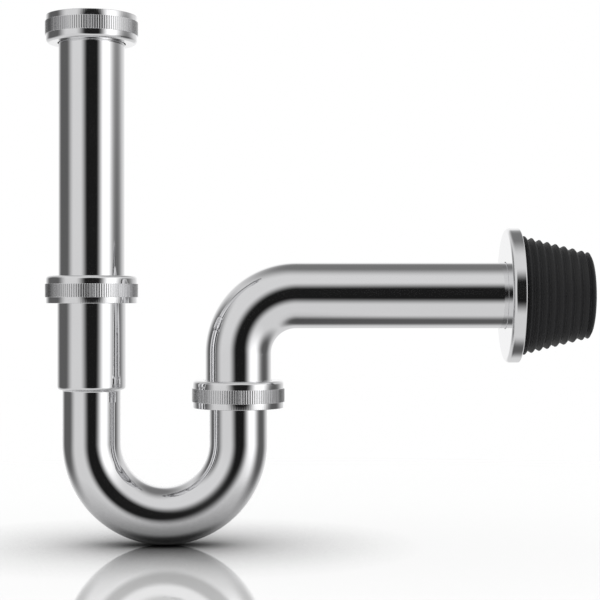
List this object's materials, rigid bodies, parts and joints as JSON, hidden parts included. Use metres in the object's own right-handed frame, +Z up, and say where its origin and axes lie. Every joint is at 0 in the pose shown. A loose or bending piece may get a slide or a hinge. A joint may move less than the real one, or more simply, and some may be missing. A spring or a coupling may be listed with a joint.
{
  "type": "basin trap",
  "caption": "Tubular P-trap with sliding inlet tube, U-bend, swivelling outlet tube, knurled nuts, wall rosette and ribbed wall seal.",
  "frame": {"origin": "on the inlet axis, on the face of the inlet gasket that the basin waste is drawn down on, at the inner end of the inlet nut's thread", "axes": "+Z up out of the inlet nut, towards the basin waste; +X along the outlet, towards the wall; Y across the trap"},
  "size_m": [0.263, 0.065, 0.2555],
  "materials": {
    "chrome": "polished chrome plate on brass",
    "rubber": "matte black moulded rubber",
    "nylon": "natural white moulded ring"
  },
  "bodies": {
    "inlet_union": {"inlet_nut": "chrome"},
    "inlet_ring": {"inlet_slip_ring": "nylon"},
    "inlet_pipe": {"inlet_tube": "chrome", "inlet_gasket": "rubber"},
    "height_ring": {"height_seal": "rubber"},
    "bend": {"u_bend": "chrome", "bend_inlet_collar": "chrome", "bend_outlet_collar": "chrome", "union_gasket": "rubber"},
    "height_nut_ring": {"slip_ring": "nylon"},
    "height_nut": {"slip_nut": "chrome"},
    "outlet_pipe": {"outlet_tube": "chrome"},
    "outlet_nut_ring": {"union_slip_ring": "nylon"},
    "outlet_nut": {"union_nut": "chrome"},
    "wall_plate": {"rosette": "chrome"},
    "wall_cone": {"wall_seal": "rubber"}
  },
  "joints": [
    {"name": "inlet_swivel", "type": "hinge", "parent": "inlet_union", "child": "inlet_ring", "pos_m": [0, 0, 0], "axis": [0, 0, 1], "continuous": true},
    {"name": "inlet_lift", "type": "slide", "parent": "inlet_ring", "child": "inlet_pipe", "axis": [0, 0, 1], "range_m": [0, 0.1]},
    {"name": "height_adjust", "type": "slide", "parent": "inlet_pipe", "child": "height_ring", "axis": [0, 0, -1], "range_m": [0, 0.03]},
    {"name": "bend_swivel", "type": "hinge", "parent": "height_ring", "child": "bend", "pos_m": [0, 0, -0.127], "axis": [0, 0, 1], "continuous": true},
    {"name": "height_nut_turn", "type": "hinge", "parent": "bend", "child": "height_nut_ring", "pos_m": [0, 0, -0.1179], "axis": [0, 0, 1], "range_deg": [0, 1080]},
    {"name": "height_nut_rise", "type": "slide", "parent": "height_nut_ring", "child": "height_nut", "axis": [0, 0, 1], "range_m": [0, 0.00693]},
    {"name": "outlet_swivel", "type": "hinge", "parent": "bend", "child": "outlet_pipe", "pos_m": [0.0709, 0, -0.1741], "axis": [0, 0, 1], "range_deg": [-120, 120]},
    {"name": "outlet_nut_turn", "type": "hinge", "parent": "bend", "child": "outlet_nut_ring", "pos_m": [0.0709, 0, -0.1683], "axis": [0, 0, 1], "range_deg": [0, 1080]},
    {"name": "outlet_nut_rise", "type": "slide", "parent": "outlet_nut_ring", "child": "outlet_nut", "axis": [0, 0, 1], "range_m": [0, 0.00693]},
    {"name": "rosette_slide", "type": "slide", "parent": "outlet_pipe", "child": "wall_plate", "axis": [-1, 0, 0], "range_m": [0, 0.095]},
    {"name": "wall_seal_slide", "type": "slide", "parent": "outlet_pipe", "child": "wall_cone", "axis": [1, 0, 0], "range_m": [0, 0.015]}
  ],
  "couplings": [
    {"joint": "height_nut_rise", "follows": "height_nut_turn", "m_per_rad": 0.00036749},
    {"joint": "outlet_nut_rise", "follows": "outlet_nut_turn", "m_per_rad": 0.00036749}
  ]
}
